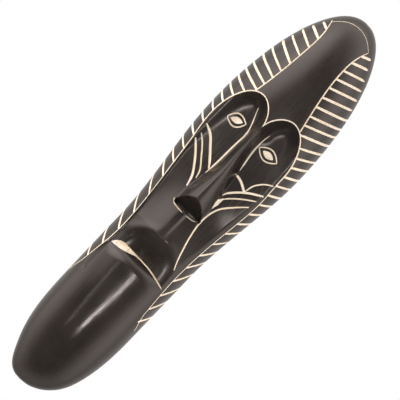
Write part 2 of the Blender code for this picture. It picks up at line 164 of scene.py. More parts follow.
def soft_max(a, b, blend):
    """The greater of two heights, with a fillet about as wide as blend."""
    share = np.clip(0.5 + 0.5 * (a - b) / blend, 0.0, 1.0)
    return b + (a - b) * share + blend * share * (1.0 - share)


def half_width(height):
    """Half the width of the outline, seen from the front."""
    width = CHIN_HALF + (HEAD_HALF - CHIN_HALF) * eased(height, 152, 272)
    width = width * round_end((height - HEAD_HEIGHT) / (LAYOUT_LENGTH - HEAD_HEIGHT), 2.1)
    return width * round_end((CHIN_HEIGHT - height) / CHIN_HEIGHT, 2.3)


def section_depth(height):
    """Depth of the uncarved blank along its middle."""
    depth = CHIN_DEPTH + (HEAD_DEPTH - CHIN_DEPTH) * eased(height, 195, 265)
    depth = depth * round_end((height - HEAD_DEPTH_HEIGHT) / (LAYOUT_LENGTH - HEAD_DEPTH_HEIGHT), 2.2)
    return depth * round_end((CHIN_DEPTH_HEIGHT - height) / CHIN_DEPTH_HEIGHT, 2.3)


def section_power(height):
    """Squareness of the cross section: an ellipse at the head and chin, fuller at the face."""
    return 2.05 + 0.3 * eased(height, 330, 270) * eased(height, 60, 120)


def blank_depth(x, height):
    """Depth of the uncarved blank at a place seen from the front."""
    power = section_power(height)
    share = np.clip(np.abs(x) / np.maximum(half_width(height), TINY), 0.0, 1.0)
    return section_depth(height) * (1.0 - share**power) ** (1.0 / power)


def face_centre(height):
    """The hand-cut middle line: it leans to one side below the brow and to the other up the forehead."""
    lean = FACE_LEAN * eased(height, FACE_MID, 228) * eased(height, 90, 150)
    return lean - FOREHEAD_LEAN * eased(height, 300, 350)


def cheek_half(height):
    """Half the width of the face between the two side bands."""
    narrowing = (FACE_HALF - FACE_WAIST_HALF) * eased(height, FACE_MID, 147)
    return FACE_HALF - narrowing + JAW_FLARE * eased(height, 145, 95)


def brow_line(x):
    """Height of the double arch of the brows, which meet in a notch over the nose."""
    out = np.abs(x)
    outer_reach = FACE_HALF - BROW_PEAK_X
    outer_share = np.clip(1 - ((out - BROW_PEAK_X) / outer_reach) ** 2, 0, 1)
    outer = FACE_MID + (BROW_PEAK - FACE_MID) * np.sqrt(outer_share)
    inner = BROW_NOTCH + (BROW_PEAK - BROW_NOTCH) * round_end((BROW_PEAK_X - out) / BROW_PEAK_X, 1.8)
    return np.where(out < BROW_PEAK_X, inner, outer)


def face_edge():
    """Points along one side of the heart-shaped edge of the face, from the brow notch to the jaw."""
    sweep = np.radians(np.linspace(180, 0, 700))
    inner = sweep > math.pi / 2
    across = BROW_PEAK_X + np.cos(sweep) * np.where(inner, BROW_PEAK_X, FACE_HALF - BROW_PEAK_X)
    down = np.linspace(FACE_MID, FACE_LOW, 1200)
    return np.concatenate((across, cheek_half(down))), np.concatenate((brow_line(across), down))


def edge_tree():
    """The face's edge as a search tree for the nearest of its points."""
    across, height = face_edge()
    tree = KDTree(len(across))
    for index, place in enumerate(zip(across, height)):
        tree.insert((*place, 0), index)
    tree.balance()
    return tree


EDGE_TREE = edge_tree()


def from_edge(across, height):
    """How far inside the face's edge a place lies, and 0 outside it."""
    across, height = np.broadcast_arrays(np.abs(across), height)
    inside = (across < cheek_half(height)) & (height < brow_line(across)) & (height > FACE_LOW + 1)
    distance = np.zeros(across.shape)
    for index in zip(*np.nonzero(inside)):
        distance[index] = EDGE_TREE.find((across[index], height[index], 0))[2]
    return distance


def face_floor(across, height):
    """Floor of the hollowed face: deepest at the eyes, and swelling out over the muzzle to the lip."""
    down = np.clip((SOCKET_FOOT - height) / (SOCKET_FOOT - LIP_FLOOR), 0, 1)
    middle = SOCKET_DEPTH + (LIP_DEPTH - SOCKET_DEPTH) * (0.55 * smooth(down) + 0.45 * down**1.6)
    fall = CHEEK_FALL * eased(height, 232, 160)
    bowl = SOCKET_BOWL * eased(height, 215, 255) * (across / FACE_HALF) ** 2
    return middle + bowl - fall * smooth(np.abs(across) / CHEEK_FALL_REACH)


def hollowed_face(x, height, blank):
    """Blank with the face scooped out inside its edge: a cove under the brows, a low step at the cheeks."""
    across = x - face_centre(height)
    reach = CHEEK_STEP + (BROW_COVE - CHEEK_STEP) * eased(height, 222, 272)
    share = 1 - (1 - np.clip(from_edge(across, height) / reach, 0, 1)) ** 3
    return blank - soft_max(blank - face_floor(across, height), 0.0, EDGE_FILLET) * share


def nose_half(height):
    """Half the width of the nose, from its waist between the eyes to its wide base and up to the brows."""
    below = np.clip((NOSE_WAIST - height) / (NOSE_WAIST - NOSE_TIP), 0, 1)
    above = np.clip((height - NOSE_WAIST) / (NOSE_TOP - NOSE_WAIST), 0, 1.25)
    return NOSE_WAIST_HALF + (NOSE_BASE_HALF - NOSE_WAIST_HALF) * below**1.1 + NOSE_TOP_SPREAD * above**2


def with_nose(x, height, face):
    """Adds the long nose: a narrow ridge from the brow notch, widening to the tip and hollowed under it."""
    across = x - face_centre(height)
    run = np.clip((BROW_NOTCH - height) / (BROW_NOTCH - NOSE_TIP), 0, 1)
    ridge = NOSE_ROOT_DEPTH + (NOSE_TIP_DEPTH - NOSE_ROOT_DEPTH) * run**1.5
    ridge = ridge + NOSE_ROOT_RISE * eased(height, 268, 282)
    share = np.abs(across) / nose_half(height)
    profile = np.maximum(1 - share ** (1.35 + 0.35 * run), -3)
    floor = face_floor(across, height)
    nose = floor + (ridge - floor) * profile
    edge = NOSE_BASE + NOSTRIL_RISE * np.clip(1 - np.abs(across / NOSTRIL_HALF) ** 1.9, 0, 1) ** 0.62
    kept = np.clip((height - NOSE_BASE) / np.maximum(edge - NOSE_BASE, 0.5), 0, 1)
    under = floor - NOSTRIL_DEPTH + (nose - floor + NOSTRIL_DEPTH) * kept**1.6
    hollow = smooth(edge - height + 0.3)
    nose = nose + (under - nose) * hollow
    inside = smooth((brow_line(across) + 1 - height) / 4)
    raised = soft_max(face, nose, NOSE_FILLET)
    raised = np.where(height < NOSE_BASE - 0.4, face, raised)
    in_hollow = (height > NOSE_BASE) & (height < edge) & (np.abs(across) < NOSTRIL_WALL)
    raised = np.where(in_hollow, np.where(nose > face, raised, nose), raised)
    return face + (raised - face) * inside


def with_muzzle(x, height, face, blank):
    """Adds the soft roll along the arched upper lip and the groove that runs down to it from the nose."""
    across = x - MOUTH_X
    radius = np.hypot(across, height - MOUTH_HEIGHT)
    climb = np.clip((height - MOUTH_HEIGHT) / np.maximum(radius, TINY), 0, 1)
    out = (radius - MOUTH_RADIUS - LIP_ROLL_OUT) / LIP_ROLL_WIDTH
    roll = LIP_ROLL * np.exp(-(out**2)) * smooth(climb * 3 - 0.9)
    raised = face + np.clip(np.minimum(roll, blank - face), 0, None)
    width = GROOVE_HALF + GROOVE_SPREAD * eased(height, 171, 162)
    dip = GROOVE_DEPTH * np.exp(-(((x - GROOVE_X) / width) ** 2))
    dip = dip * eased(height, 160, 164) * eased(height, NOSE_BASE, NOSE_BASE - 1.5)
    lip = face_floor(across, height) + roll
    return raised - dip, np.minimum(lip, blank), radius


def mouth_line(x):
    """Height of the mouth, a low arch between its corners."""
    return MOUTH_HEIGHT - 1 + MOUTH_BOW * np.clip(1 - ((x - MOUTH_X) / MOUTH_RADIUS) ** 2, 0, 1)


def with_mouth(x, height, face, lip, radius, blank):
    """Undercuts the upper lip down to the mouth and rolls the chin block out again below it."""
    across = np.abs(x - MOUTH_X)
    line = mouth_line(x)
    corner = np.clip(1 - (across / MOUTH_RADIUS) ** 2, 0, 1) ** 0.35
    mouth = blank - np.clip(blank - MOUTH_DEPTH, 0, None) * corner
    inward = np.clip((MOUTH_RADIUS - radius) / (MOUTH_RADIUS - MOUTH_BOW), 0, 1)
    floor = np.minimum(mouth, lip)
    under_lip = floor + (lip - floor) * (1 - inward) ** 1.25
    face = np.where((radius < MOUTH_RADIUS) & (height > line), under_lip, face)
    below = np.clip((line - height) / CHIN_ROLL, 0, 1)
    rolled = mouth + (blank - mouth) * (1 - (1 - below) ** 2) ** 0.6
    return np.where((across < MOUTH_RADIUS) & (height <= line), rolled, face)


def front_depth(x, height):
    """Depth of the carved front at a place seen from the front, all in layout millimetres."""
    blank = blank_depth(x, height)
    face = hollowed_face(x, height, blank)
    face = with_nose(x, height, face)
    face, lip, radius = with_muzzle(x, height, face, blank)
    return with_mouth(x, height, face, lip, radius, blank)


def outline_lean(height):
    """Sideways shift of the last of the chin, whose rounded end was cut a little off the middle."""
    return CHIN_LEAN * np.clip(1 - height / CHIN_LEAN_REACH, 0, 1) ** 2.2


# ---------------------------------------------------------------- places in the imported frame
BODY_LOW, BODY_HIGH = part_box("mask_body")
SCALE = (np.array(BODY_HIGH) - np.array(BODY_LOW)) / (LAYOUT_WIDTH, LAYOUT_DEPTH, LAYOUT_LENGTH)


def to_frame(x, depth, height):
    """Layout millimetres to the frame's metres, as an array of points."""
    x = x + outline_lean(height)
    return np.stack((x * SCALE[0], -depth * SCALE[1], height * SCALE[2] + BODY_LOW[2]), axis=-1)


def turn_of(x, height):
    """How far round the section a place lies: 0 in the middle, 1 or -1 at the rim."""
    share = np.clip(np.abs(x) / np.maximum(half_width(height), TINY), 0.0, 1.0)
    return np.sign(x) * np.arcsin(share ** (section_power(height) / 2)) / (math.pi / 2)


def on_front(turn, height):
    """Point of the carved front, carried straight on past the rim where turn is over 1."""
    out = np.clip(np.abs(turn), 0, 1)
    x = np.sign(turn) * half_width(height) * np.sin(out * math.pi / 2) ** (2 / section_power(height))
    depth = np.where(out < RIM, front_depth(x, height), 0.0)
    return to_frame(x, depth - RUN_ON * np.clip(np.abs(turn) - 1, 0, None), height)


def surface_normal(turn, height):
    """Outward direction of the carved front, averaged over a millimetre or so."""
    step_turn, step_height = 0.012, 0.8
    along = on_front(turn, height + step_height) - on_front(turn, height - step_height)
    around = on_front(turn + step_turn, height) - on_front(turn - step_turn, height)
    normal = np.cross(around, along)
    return normal / np.linalg.norm(normal, axis=-1, keepdims=True)


# ---------------------------------------------------------------- small modelling helpers
def deselect_all():
    for item in bpy.context.selected_objects:
        item.select_set(False)


def make_active(piece):
    deselect_all()
    piece.select_set(True)
    bpy.context.view_layer.objects.active = piece


def placed(name, data):
    """A new object in the scene that carries the data."""
    made = bpy.data.objects.new(name, data)
    bpy.context.scene.collection.objects.link(made)
    return made


def cutter_from(name, bm):
    """A cutter that leaves pale cut wood behind it."""
    mesh = bpy.data.meshes.new(name)
    bm.to_mesh(mesh)
    bm.free()
    mesh.materials.append(CUT)
    return placed(name, mesh)


def vertex_places(mesh):
    """The mesh's vertices as rows of three coordinates."""
    places = np.empty(len(mesh.vertices) * 3)
    mesh.vertices.foreach_get("co", places)
    return places.reshape(-1, 3)


# ---------------------------------------------------------------- materials
STAIN = (0.0145, 0.0121, 0.0106, 1)
STAIN_PATCH = (0.0207, 0.0170, 0.0148, 1)
STAIN_STREAK = (0.0265, 0.0211, 0.0175, 1)
STAIN_PORE = (0.010, 0.008, 0.007, 1)
STAIN_SHINE = (1.0, 0.93, 0.92, 1)
CUT_PALE = (0.93, 0.86, 0.75, 1)
CUT_STREAK = (0.86, 0.76, 0.61, 1)
CUT_SPECK = (0.30, 0.22, 0.15, 1)
BACK_BROWN = (0.045, 0.030, 0.021, 1)
BACK_STREAK = (0.105, 0.066, 0.042, 1)
BACK_WORN = (0.17, 0.11, 0.07, 1)
# The chin block is rubbed brighter than the face; the one fades into the other between these frame heights.
POLISH_HEIGHTS = (-0.246, -0.226)
CHIN_ROUGHNESS = 0.115
FACE_ROUGHNESS = 0.215


def noise_node(tree, vector, scale, detail, rough, distortion=0.0):
    """Cloudy noise, with about scale lumps to a metre."""
    node = tree.nodes.new("ShaderNodeTexNoise")
    node.inputs["Scale"].default_value = scale
    node.inputs["Detail"].default_value = detail
    node.inputs["Roughness"].default_value = rough
    node.inputs["Distortion"].default_value = distortion
    tree.links.new(vector, node.inputs["Vector"])
    return node.outputs["Fac"]


def ramp_node(tree, value, low, high, out_low=0.0, out_high=1.0):
    """Eased change from out_low to out_high while the value goes from low to high."""
    node = tree.nodes.new("ShaderNodeMapRange")
    node.interpolation_type = "SMOOTHSTEP"
    node.inputs["From Min"].default_value = low
    node.inputs["From Max"].default_value = high
    node.inputs["To Min"].default_value = out_low
    node.inputs["To Max"].default_value = out_high
    tree.links.new(value, node.inputs["Value"])
    return node.outputs["Result"]


def math_node(tree, operation, first, second):
    node = tree.nodes.new("ShaderNodeMath")
    node.operation = operation
    for socket, value in zip(node.inputs, (first, second)):
        if isinstance(value, (int, float)):
            socket.default_value = value
        else:
            tree.links.new(value, socket)
    return node.outputs["Value"]


def mix_colour(tree, factor, first, second):
    node = tree.nodes.new("ShaderNodeMix")
    node.data_type = "RGBA"
    for socket, value in ((node.inputs[0], factor), (node.inputs[6], first), (node.inputs[7], second)):
        if isinstance(value, (tuple, float)):
            socket.default_value = value
        else:
            tree.links.new(value, socket)
    return node.outputs[2]


def stretched(tree, vector, scale):
    """Places drawn out along the axes whose scale is below one."""
    node = tree.nodes.new("ShaderNodeMapping")
    node.inputs["Scale"].default_value = scale
    tree.links.new(vector, node.inputs["Vector"])
    return node.outputs["Vector"]


def grain_group():
    """Masks of the grain that runs up the mask: long streaks, fine fibres, short dark pores, patches."""
    group = bpy.data.node_groups.new("wood_grain", "ShaderNodeTree")
    group.interface.new_socket("Vector", in_out="INPUT", socket_type="NodeSocketVector")
    place = group.nodes.new("NodeGroupInput").outputs["Vector"]
    end = group.nodes.new("NodeGroupOutput")
    streaks = noise_node(group, stretched(group, place, (1, 1, 0.09)), 160, 5, 0.6, 0.3)
    fibres = noise_node(group, stretched(group, place, (1, 1, 0.05)), 900, 3, 0.6)
    pores = noise_node(group, stretched(group, place, (1, 1, 0.12)), 1500, 2, 0.5)
    patches = noise_node(group, place, 22, 3, 0.5)
    masks = {
        "Streaks": ramp_node(group, streaks, 0.35, 0.7),
        "Fibres": ramp_node(group, fibres, 0.3, 0.7),
        "Pores": ramp_node(group, pores, 0.58, 0.72),
        "Patches": ramp_node(group, patches, 0.35, 0.65),
    }
    for label, mask in masks.items():
        group.interface.new_socket(label, in_out="OUTPUT", socket_type="NodeSocketFloat")
        group.links.new(mask, end.inputs[label])
    return group


GRAIN = grain_group()


def new_finish(name):
    """A material with its shader, and the object's own coordinates."""
    made = bpy.data.materials.new(name)
    made.use_nodes = True
    tree = made.node_tree
    shader = tree.nodes["Principled BSDF"]
    place = tree.nodes.new("ShaderNodeTexCoord").outputs["Object"]
    return made, tree, shader, place


def grain_of(tree, place):
    """The grain's four masks at a place in the wood."""
    node = tree.nodes.new("ShaderNodeGroup")
    node.node_tree = GRAIN
    tree.links.new(place, node.inputs["Vector"])
    return node.outputs


def bump(tree, shader, height, strength, distance):
    """Fine relief in the shading only; distance is its depth in metres."""
    node = tree.nodes.new("ShaderNodeBump")
    node.inputs["Strength"].default_value = strength
    node.inputs["Distance"].default_value = distance
    tree.links.new(height, node.inputs["Height"])
    tree.links.new(node.outputs["Normal"], shader.inputs["Normal"])


def stained_wood():
    """Black stain and wax over close-grained wood, rubbed to a satin shine."""
    made, tree, shader, place = new_finish("stained_wood")
    grain = grain_of(tree, place)
    dark = mix_colour(tree, grain["Patches"], STAIN, STAIN_PATCH)
    streaked = mix_colour(tree, math_node(tree, "MULTIPLY", grain["Streaks"], 0.5), dark, STAIN_STREAK)
    colour = mix_colour(tree, math_node(tree, "MULTIPLY", grain["Pores"], 0.3), streaked, STAIN_PORE)
    tree.links.new(colour, shader.inputs["Base Color"])
    parts = tree.nodes.new("ShaderNodeSeparateXYZ")
    tree.links.new(place, parts.inputs[0])
    polish = ramp_node(tree, parts.outputs["Z"], *POLISH_HEIGHTS, CHIN_ROUGHNESS, FACE_ROUGHNESS)
    rough = math_node(tree, "ADD", polish, math_node(tree, "MULTIPLY", grain["Patches"], 0.07))
    rough = math_node(tree, "ADD", rough, math_node(tree, "MULTIPLY", grain["Fibres"], 0.06))
    tree.links.new(rough, shader.inputs["Roughness"])
    height = math_node(tree, "SUBTRACT", grain["Fibres"], math_node(tree, "MULTIPLY", grain["Pores"], 0.8))
    bump(tree, shader, height, 0.25, 0.00005)
    shader.inputs["Specular IOR Level"].default_value = 0.5
    shader.inputs["Specular Tint"].default_value = STAIN_SHINE
    return made


def cut_wood():
    """Pale wood where the gouge went through the stain, with stray dark specks left in it."""
    made, tree, shader, place = new_finish("cut_wood")
    grain = grain_of(tree, place)
    pale = mix_colour(tree, grain["Streaks"], CUT_PALE, CUT_STREAK)
    stray = ramp_node(tree, noise_node(tree, place, 900, 3, 0.6), 0.64, 0.75)
    colour = mix_colour(tree, math_node(tree, "MULTIPLY", stray, 0.55), pale, CUT_SPECK)
    tree.links.new(colour, shader.inputs["Base Color"])
    shader.inputs["Roughness"].default_value = 0.7
    bump(tree, shader, grain["Fibres"], 0.5, 0.0001)
    return made


def back_wood():
    """Unpolished back: thin dark stain that lets the brown wood through."""
    made, tree, shader, place = new_finish("back_wood")
    grain = grain_of(tree, place)
    brown = mix_colour(tree, grain["Streaks"], BACK_BROWN, BACK_STREAK)
    worn = ramp_node(tree, noise_node(tree, place, 45, 5, 0.65), 0.5, 0.75)
    colour = mix_colour(tree, math_node(tree, "MULTIPLY", worn, 0.6), brown, BACK_WORN)
    tree.links.new(colour, shader.inputs["Base Color"])
    rough = math_node(tree, "ADD", 0.62, math_node(tree, "MULTIPLY", grain["Fibres"], 0.2))
    tree.links.new(rough, shader.inputs["Roughness"])
    bump(tree, shader, grain["Fibres"], 0.8, 0.00015)
    return made


def plated_metal(name, colour, dull, rough):
    """Thin plating with dull patches and fine rubbing marks."""
    made, tree, shader, place = new_finish(name)
    patches = ramp_node(tree, noise_node(tree, place, 260, 4, 0.6), 0.4, 0.7)
    scratches = noise_node(tree, stretched(tree, place, (0.2, 1, 1)), 2600, 2, 0.5)
    tree.links.new(mix_colour(tree, patches, (*colour, 1), (*dull, 1)), shader.inputs["Base Color"])
    shader.inputs["Metallic"].default_value = 1.0
    varied = math_node(tree, "ADD", rough, math_node(tree, "MULTIPLY", patches, 0.18))
    tree.links.new(varied, shader.inputs["Roughness"])
    bump(tree, shader, scratches, 0.25, 0.00004)
    return made


STAINED = stained_wood()
CUT = cut_wood()
BACK = back_wood()


# ---------------------------------------------------------------- the carved body
# What knife and sandpaper left: lumps to a metre, their height and their fade at the back in millimetres.
KNIFE_LUMPS = 30.0
KNIFE_HEIGHT = 0.14
SANDED_LUMPS = 115.0
SANDED_HEIGHT = 0.018
FINISH_FADE = 4.0
# At the flat back, in millimetres: its chamfer, the gaps that are closed and those that are flattened.
BACK_CHAMFER = 1.2
CLOSED_GAP = 0.01
FLATTENED_GAP = 0.05


def section_heights():
    """Heights of the cross sections, closer together at the face and at both ends."""
    fine = np.linspace(0, LAYOUT_LENGTH, 4001)
    in_face = eased(fine, 112, 124) * eased(fine, 312, 300)
    spacing = ROW_PLAIN + (ROW_FACE - ROW_PLAIN) * in_face
    from_end = np.minimum(fine, LAYOUT_LENGTH - fine)
    spacing = np.minimum(spacing, ROW_END + from_end * ROW_GROWTH)
    counted = np.concatenate(([0.0], np.cumsum(np.diff(fine) / spacing[1:])))
    rows = int(round(counted[-1]))
    return np.interp(np.linspace(0, counted[-1], rows + 1), counted, fine)


def column_places(share, height):
    """Sideways place of each column, share -1 to 1 from rim to rim; the middle ones follow the nose."""
    out = np.abs(share)
    inner = NOSE_COLUMNS / COLUMNS
    width = half_width(height)
    reach = np.minimum(NOSE_MARGIN * nose_half(height), width * inner)
    first = np.abs(turn_of(reach, height))
    power = section_power(height)
    outer = first + (1 - first) * (out - inner) / (1 - inner)
    outer_x = width * np.sin(np.clip(outer, 0, 1) * math.pi / 2) ** (2 / power)
    across = np.sign(share) * np.where(out < inner, reach * out / inner, outer_x)
    return across + face_centre(height) * (1 - (across / np.maximum(width, TINY)) ** 2)


def hand_finish(points):
    """The slight unevenness that a knife and sandpaper leave, as a shift along the surface normal."""
    shift = np.empty(len(points))
    for index, point in enumerate(points):
        place = Vector(point)
        broad = noise.noise(place * KNIFE_LUMPS)
        fine = noise.noise(place * SANDED_LUMPS)
        shift[index] = KNIFE_HEIGHT * MM * broad + SANDED_HEIGHT * MM * fine
    return shift


def carved_blank():
    """The whole carved front as one fine grid, closed by a flat back with a small chamfer."""
    heights = section_heights()
    rows = len(heights) - 1
    deselect_all()
    bpy.ops.mesh.primitive_grid_add(x_subdivisions=COLUMNS, y_subdivisions=rows, size=2)
    piece = bpy.context.object
    piece.name = "mask_carving"
    mesh = piece.data
    places = vertex_places(mesh)
    height = heights[np.rint((places[:, 1] + 1) / 2 * rows).astype(int)]
    x = column_places(places[:, 0], height)
    on_rim = np.abs(places[:, 0]) > RIM
    depth = np.where(on_rim, 0.0, front_depth(x, height))
    points = to_frame(x, depth, height)
    mesh.vertices.foreach_set("co", points.ravel())
    mesh.update()
    bm = bmesh.new()
    bm.from_mesh(mesh)
    bmesh.ops.remove_doubles(bm, verts=bm.verts, dist=CLOSED_GAP * MM)
    bmesh.ops.recalc_face_normals(bm, faces=bm.faces)
    bm.normal_update()
    if sum(face.normal.y for face in bm.faces) > 0:
        bmesh.ops.reverse_faces(bm, faces=bm.faces)
        bm.normal_update()
    inside = [vert for vert in bm.verts if not vert.is_boundary]
    shifts = hand_finish([vert.co for vert in inside])
    for vert, shift in zip(inside, shifts):
        room = min(1.0, -vert.co.y / (FINISH_FADE * MM))
        vert.co += vert.normal * shift * room
    edge = [e for e in bm.edges if e.is_boundary]
    chamfer = BACK_CHAMFER * MM
    bmesh.ops.translate(bm, verts=list({v for e in edge for v in e.verts}), vec=(0, -chamfer, 0))
    middle = (BODY_LOW[2] + BODY_HIGH[2]) / 2
    half_length = (BODY_HIGH[2] - BODY_LOW[2]) / 2
    half_across = (BODY_HIGH[0] - BODY_LOW[0]) / 2
    for _ in range(2):
        ring = bmesh.ops.extrude_edge_only(bm, edges=[e for e in bm.edges if e.is_boundary])["geom"]
        for vert in (v for v in ring if isinstance(v, bmesh.types.BMVert)):
            vert.co.x *= 1 - chamfer / 2 / half_across
            vert.co.z = middle + (vert.co.z - middle) * (1 - chamfer / 2 / half_length)
            vert.co.y = min(0.0, vert.co.y + chamfer * (0.7 if vert.co.y < -chamfer * 0.9 else 0.3))
    for vert in bm.verts:
        if vert.co.y > -FLATTENED_GAP * MM:
            vert.co.y = 0.0
    closing = bmesh.ops.edgeloop_fill(bm, edges=[e for e in bm.edges if e.is_boundary])["faces"]
    for face in closing:
        face.material_index = 1
    bmesh.ops.recalc_face_normals(bm, faces=bm.faces)
    bm.to_mesh(mesh)
    bm.free()
    mesh.materials.clear()
    for finish in (STAINED, BACK, CUT):
        mesh.materials.append(finish)
    return piece


# ---------------------------------------------------------------- the cuts
# In millimetres: how far a cutter stands out of the wood, its points' spacing and the lines' sizes.
CUTTER_CLEAR = 0.7
LEAST_SINK = 0.15
PATH_STEP = 1.6
FINE_WIDTH = 1.15
FINE_DEPTH = 0.75
FACE_CUT_DEPTH = 0.95
NOSE_LINE_DEPTH = 0.9
NOSE_LINE_GAP = 0.35
HATCH_WIDTH = 2.15
HATCH_DEPTH = 1.15
# How a cutter opens above the wood, how a hatch cut bows, and the seed of its wobble.
CUTTER_FLARE = 0.6
HATCH_BOW = 0.12
HATCH_SEED = 7
# Hatching of each side: heights of its first and last cut, the drop from cut to cut and the climb of a cut.
HATCHING = {
    1: {
        "top": 376.8,
        "bottom": 94,
        "pitch": ((95, 13), (150, 15.6), (200, 13.4), (260, 9.6), (290, 7.8), (340, 9), (380, 9.6)),
        "rise": ((90, 7), (110, 15), (150, 15), (195, 9.5), (250, 5), (305, 12), (340, 9), (380, 3)),
    },
    -1: {
        "top": 373.2,
        "bottom": 108,
        "pitch": (
            *((110, 14), (175, 19), (195, 18.5), (215, 14)),
            *((255, 12.5), (300, 7.5), (340, 9.4), (380, 10.5)),
        ),
        "rise": (
            *((105, 10), (140, 18), (175, 19), (210, 10), (250, 8)),
            *((290, 8), (330, 12), (360, 6.5), (378, 2)),
        ),
    },
}
# Scars, the sweep down one cheek and the cut under the nose: places along each, and width.
FACE_LINES = {
    "left_scar_1": (((-35.5, 252.6), (-27.5, 248.2), (-20.4, 240.7), (-13.2, 232.5), (-9.4, 227.4)), 2.2),
    "left_scar_2": (((-33.5, 244.2), (-27.5, 238.9), (-20.4, 230.4), (-13.9, 222.1), (-11.6, 215)), 1.3),
    "left_scar_3": (((-34.2, 238.3), (-26.8, 230.4), (-21.1, 223.2), (-15.4, 214.6), (-12.6, 205.5)), 1.95),
    "right_scar_1": (((9.4, 239.4), (15.4, 238.1), (20.5, 235.6), (24.3, 233.2)), 2.3),
    "right_scar_2": (((38.2, 252.9), (31.8, 248.9), (26.4, 242.1), (24.3, 234.2)), 1.3),
    "right_scar_3": (((38.0, 241.4), (28.2, 235.7), (21.1, 230), (15.0, 223.2), (13.4, 219.6)), 1.9),
    "right_scar_4": (((36.6, 234.6), (26.8, 227.9), (19.7, 221.8), (15.2, 216.4)), 1.25),
    "right_sweep": (
        ((35.4, 227.1), (28.1, 220), (19, 208.6), (15.9, 194.3), (18, 177.9), (23.4, 158.6), (27, 149.5)),
        1.45,
    ),
    "nose_base_left": (((-13.2, 192.2), (-10.8, 189.0), (-5, 187.7), (0, 187.5)), 0.75),
    "nose_base_right": (((15.2, 192.4), (12.4, 189.0), (8, 187.9), (4, 187.6)), 0.6),
}
WEDGE = ((16.2, 218.4), (15.0, 214.0), (14.4, 210), (14.9, 206))
WEDGE_WIDTHS = ((0, 0.3, 0.7, 1), (1.0, 3.2, 2.0, 0.4))
# Eyes: middle, half length, half height, tilt in degrees, and the two halves again for the scooped middle.
EYES = {
    "left": ((-20.0, 270.9), 8.2, 5.6, 19.0, (5.3, 2.5)),
    "right": ((17.8, 267.7), 9.5, 5.3, 0.0, (5.4, 2.6)),
}


def through(points, step):
    """Smooth path through a few chosen points, sampled about every step."""
    points = np.array(points, float)
    ends = np.vstack((2 * points[0] - points[1], points, 2 * points[-1] - points[-2]))
    out = []
    for first in range(len(points) - 1):
        a, b, c, d = ends[first : first + 4]
        count = max(2, int(np.linalg.norm((c - b)[:2]) / step))
        t = (np.arange(count) / count)[:, None]
        bend = (2 * a - 5 * b + 4 * c - d) * t**2
        twist = (3 * b - a - 3 * c + d) * t**3
        out.append(0.5 * (2 * b + (c - a) * t + bend + twist))
    out.append(points[-1:])
    return np.vstack(out)


def gouge(name, turn, height, width, depth, bottom=0.3):
    """A cut along a path on the front, with a width and a depth in millimetres at each of its points."""
    centre = on_front(turn, height)
    normal = surface_normal(turn, height)
    tangent = np.gradient(centre, axis=0)
    tangent /= np.linalg.norm(tangent, axis=1, keepdims=True)
    side = np.cross(tangent, normal)
    side /= np.linalg.norm(side, axis=1, keepdims=True)
    half = np.asarray(width)[:, None] * MM / 2
    sink = np.asarray(depth)[:, None] * MM
    clear = CUTTER_CLEAR * MM
    flare = 1 + clear / np.maximum(sink, LEAST_SINK * MM) * CUTTER_FLARE
    section = (
        centre - side * half * flare + normal * clear,
        centre - side * half * bottom - normal * sink * 0.9,
        centre - normal * sink,
        centre + side * half * bottom - normal * sink * 0.9,
        centre + side * half * flare + normal * clear,
    )
    bm = bmesh.new()
    rings = [[bm.verts.new(points[i]) for points in section] for i in range(len(centre))]
    for near, far in zip(rings, rings[1:]):
        for i in range(len(section)):
            j = (i + 1) % len(section)
            bm.faces.new((near[i], near[j], far[j], far[i]))
    bm.faces.new(rings[0][::-1])
    bm.faces.new(rings[-1])
    bmesh.ops.recalc_face_normals(bm, faces=bm.faces)
    return cutter_from(name, bm)


def line_cut(name, x, height, width, depth, bottom=0.3):
    """A cut whose path is given by sideways and upward places."""
    return gouge(name, turn_of(x, height), height, width, depth, bottom)


def tapered(count, start, end, reach=0.18):
    """Share of full size along a cut that runs in and out of the wood."""
    t = np.linspace(0, 1, count)
    rise = start + (1 - start) * smooth(t / reach)
    fall = end + (1 - end) * smooth((1 - t) / reach)
    return np.minimum(rise, fall)


def face_cut(name, points, width):
    """A gouge line through a few places on the face; its width is one number or a run of them."""
    path = through(points, PATH_STEP)
    size = tapered(len(path), 0.6, 0.6)
    widths = width * size if np.isscalar(width) else np.interp(np.linspace(0, 1, len(path)), *width)
    return line_cut(name, path[:, 0], path[:, 1], widths, FACE_CUT_DEPTH * size)


def panel_half(height):
    """Half the width of the plain forehead panel, pinched at its waist."""
    below = PANEL_FOOT_SPREAD * np.clip((PANEL_WAIST - height) / (PANEL_WAIST - PANEL_FOOT), 0, None) ** 1.6
    above = PANEL_TOP_SPREAD * np.clip((height - PANEL_WAIST) / (PANEL_TOP - PANEL_WAIST), 0, None) ** 2
    return PANEL_WAIST_HALF + below + above


def band_inner(height):
    """Sideways place where the hatched band starts: at the panel, the brow's outer arch or the cheek line."""
    share = np.clip((height - FACE_MID) / (BROW_PEAK - FACE_MID), 0, 1)
    arch = BROW_PEAK_X + (FACE_HALF - BROW_PEAK_X) * np.sqrt(1 - share**2)
    by_face = np.where(height > FACE_MID, np.maximum(arch, BAND_INNER_LEAST), cheek_half(height))
    return np.where(height > BROW_PEAK, panel_half(height), by_face)


